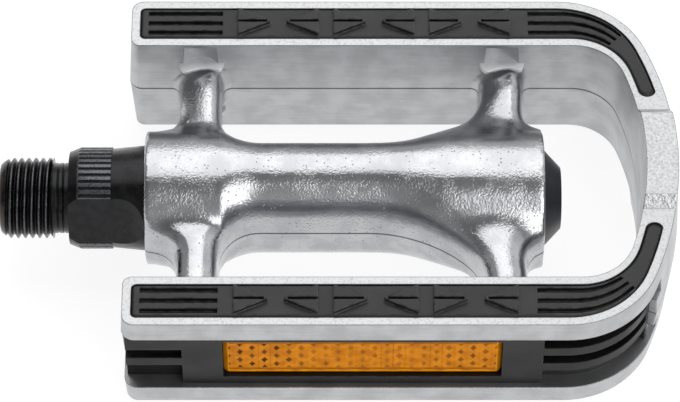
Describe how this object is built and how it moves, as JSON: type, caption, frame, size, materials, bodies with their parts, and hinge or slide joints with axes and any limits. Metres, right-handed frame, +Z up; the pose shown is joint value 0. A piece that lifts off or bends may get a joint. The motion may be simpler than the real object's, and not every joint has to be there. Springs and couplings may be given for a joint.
{
  "type": "platform pedal",
  "caption": "Bicycle platform pedal: cast aluminium U-shaped cage with black treads and amber side reflectors, turning on a threaded steel spindle",
  "frame": {"origin": "on the spindle's axis, at the crank-side face of the collar that seats on the crank arm", "axes": "+X runs along the spindle from the crank to the loop end, +Y from the front rail to the rear rail, +Z up with the pedal level"},
  "size_m": [0.12, 0.07, 0.0278],
  "materials": {
    "cast_aluminium": "tumbled die casting with machined top and bottom rims",
    "black_steel": "black oxide steel, slightly oiled",
    "seal_rubber": "matt black rubber",
    "bearing_steel": "hardened, ground races",
    "ball_steel": "polished balls",
    "zinc_steel": "bright zinc plate",
    "cap_plastic": "moulded dark plastic, slightly worn",
    "tread_plastic": "matt black moulded insert",
    "grip_plastic": "matt black moulded insert",
    "amber_lens": "clear amber acrylic with prism cells",
    "amber_base": "amber backing plate"
  },
  "bodies": {
    "spindle": {"spindle": "black_steel", "adjusting_cone": "bearing_steel", "lock_washer": "zinc_steel", "lock_nut": "zinc_steel"},
    "platform": {"platform_body": "cast_aluminium", "inboard_cup": "bearing_steel", "outboard_cup": "bearing_steel", "inboard_seal": "seal_rubber", "dust_cap": "cap_plastic", "front_upper_tread": "tread_plastic", "front_lower_tread": "tread_plastic", "rear_upper_tread": "tread_plastic", "rear_lower_tread": "tread_plastic", "front_side_grip": "grip_plastic", "rear_side_grip": "grip_plastic", "front_reflector_lens": "amber_lens", "rear_reflector_lens": "amber_lens", "front_reflector_base": "amber_base", "rear_reflector_base": "amber_base"},
    "inboard_ball_ring": {"inboard_balls": "ball_steel"},
    "outboard_ball_ring": {"outboard_balls": "ball_steel"}
  },
  "joints": [
    {"name": "platform_spin", "type": "hinge", "parent": "spindle", "child": "platform", "pos_m": [0.048, 0, 0], "axis": [1, 0, 0], "continuous": true},
    {"name": "inboard_ball_roll", "type": "hinge", "parent": "spindle", "child": "inboard_ball_ring", "pos_m": [0.0212, 0, 0], "axis": [1, 0, 0], "continuous": true},
    {"name": "outboard_ball_roll", "type": "hinge", "parent": "spindle", "child": "outboard_ball_ring", "pos_m": [0.074, 0, 0], "axis": [1, 0, 0], "continuous": true}
  ],
  "couplings": [
    {"joint": "inboard_ball_roll", "follows": "platform_spin", "ratio": 0.5884},
    {"joint": "outboard_ball_roll", "follows": "platform_spin", "ratio": 0.5884}
  ]
}
